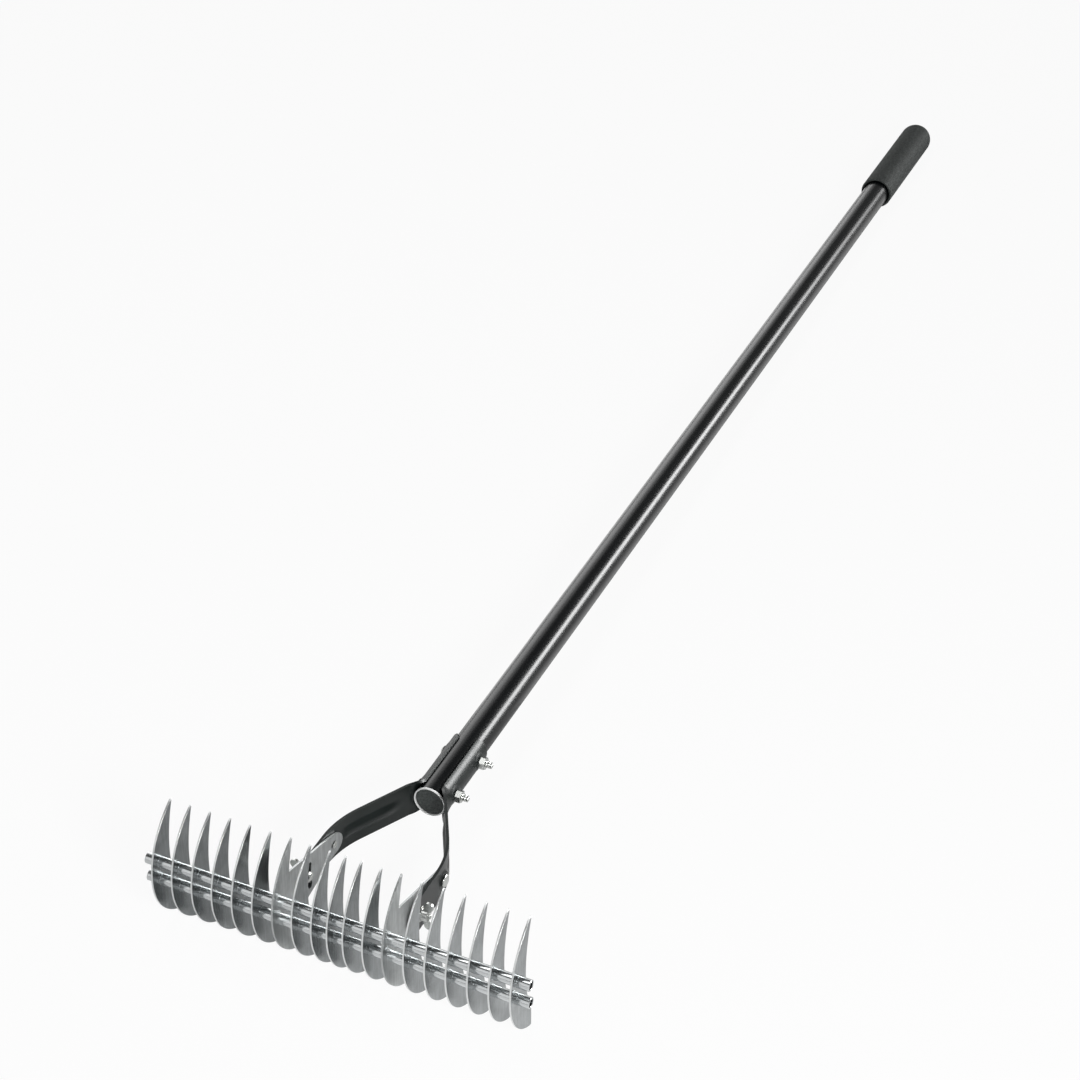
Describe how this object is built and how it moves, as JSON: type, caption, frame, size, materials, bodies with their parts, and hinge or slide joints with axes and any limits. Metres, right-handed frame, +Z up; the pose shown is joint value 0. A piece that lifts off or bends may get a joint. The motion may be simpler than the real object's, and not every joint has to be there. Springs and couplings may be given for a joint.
{
  "type": "thatch rake",
  "caption": "Long-handled thatch rake with crescent blades on two rods; the head tilts on a stamped wishbone and locks with wing nuts in curved slots.",
  "frame": {"origin": "centre of the base of the bounding box, on the floor that the lower blade tips and the end of the grip rest on", "axes": "+X along the rods, to the right seen from the blade end looking up the handle; +Y along the handle from the blades towards the grip; +Z up"},
  "size_m": [0.3356, 1.552, 0.118],
  "materials": {
    "tube_paint": "gloss black enamel",
    "plug": "matte grey moulded plastic",
    "grip": "fine pebbled vinyl",
    "arm_paint": "semi-gloss dark grey enamel",
    "blade_steel": "bright satin sheet steel",
    "rod_plate": "mirror-bright plating",
    "zinc": "bright zinc plating"
  },
  "bodies": {
    "handle": {"handle_tube": "tube_paint", "end_plug": "plug", "grip": "grip", "left_arm": "arm_paint", "right_arm": "arm_paint", "clamp_bolt_lower": "zinc", "clamp_bolt_upper": "zinc", "clamp_nut_lower": "zinc", "clamp_nut_upper": "zinc", "left_pivot_screw": "zinc", "right_pivot_screw": "zinc", "left_pivot_nut": "zinc", "right_pivot_nut": "zinc", "left_slot_bolt": "zinc", "right_slot_bolt": "zinc", "left_wing_washer": "zinc", "right_wing_washer": "zinc"},
    "head": {"upper_rod": "rod_plate", "lower_rod": "rod_plate", "blade_01": "blade_steel", "blade_02": "blade_steel", "blade_03": "blade_steel", "blade_04": "blade_steel", "blade_05": "blade_steel", "blade_06": "blade_steel", "left_bracket": "blade_steel", "blade_08": "blade_steel", "blade_09": "blade_steel", "blade_10": "blade_steel", "blade_11": "blade_steel", "blade_12": "blade_steel", "right_bracket": "blade_steel", "blade_14": "blade_steel", "blade_15": "blade_steel", "blade_16": "blade_steel", "blade_17": "blade_steel", "blade_18": "blade_steel", "blade_19": "blade_steel"},
    "left_wing": {"left_wing_nut": "zinc"},
    "right_wing": {"right_wing_nut": "zinc"}
  },
  "joints": [
    {"name": "head_tilt", "type": "hinge", "parent": "handle", "child": "head", "pos_m": [0, -0.6745, 0.056], "axis": [1, 0, 0], "range_deg": [-14, 14]},
    {"name": "left_wing_turn", "type": "hinge", "parent": "handle", "child": "left_wing", "pos_m": [-0.0531, -0.71649, 0.05711], "axis": [-1, 0, 0], "continuous": true},
    {"name": "right_wing_turn", "type": "hinge", "parent": "handle", "child": "right_wing", "pos_m": [0.0531, -0.71649, 0.05711], "axis": [1, 0, 0], "continuous": true}
  ]
}
